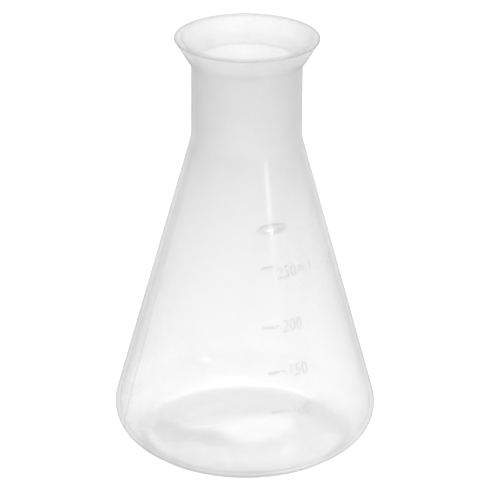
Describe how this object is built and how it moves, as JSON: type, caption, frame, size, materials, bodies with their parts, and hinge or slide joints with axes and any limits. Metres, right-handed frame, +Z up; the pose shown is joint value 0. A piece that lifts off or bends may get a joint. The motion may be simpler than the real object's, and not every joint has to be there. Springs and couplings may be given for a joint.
{
  "type": "conical flask",
  "caption": "Conical laboratory flask with a straight neck, a flared rim, a pushed-up base and raised graduation marks on its wall.",
  "frame": {"origin": "centre of the base, on the surface that the flask stands on", "axes": "+Z up through the mouth, -Y the side that the graduation marks face, a little to the right of its middle"},
  "size_m": [0.0852, 0.0852, 0.138],
  "materials": {
    "flask_plastic": "glossy, milky translucent",
    "mark_plastic": "glossy, milky translucent"
  },
  "bodies": {
    "root": {"flask_body": "flask_plastic", "line_100": "mark_plastic", "line_150": "mark_plastic", "line_200": "mark_plastic", "line_250": "mark_plastic", "digit_100_1": "mark_plastic", "digit_100_2": "mark_plastic", "digit_100_3": "mark_plastic", "digit_150_1": "mark_plastic", "digit_150_2": "mark_plastic", "digit_150_3": "mark_plastic", "digit_200_1": "mark_plastic", "digit_200_2": "mark_plastic", "digit_200_3": "mark_plastic", "digit_250_1": "mark_plastic", "digit_250_2": "mark_plastic", "digit_250_3": "mark_plastic", "letter_m": "mark_plastic", "letter_l": "mark_plastic", "blank_pad": "mark_plastic"}
  },
  "joints": []
}
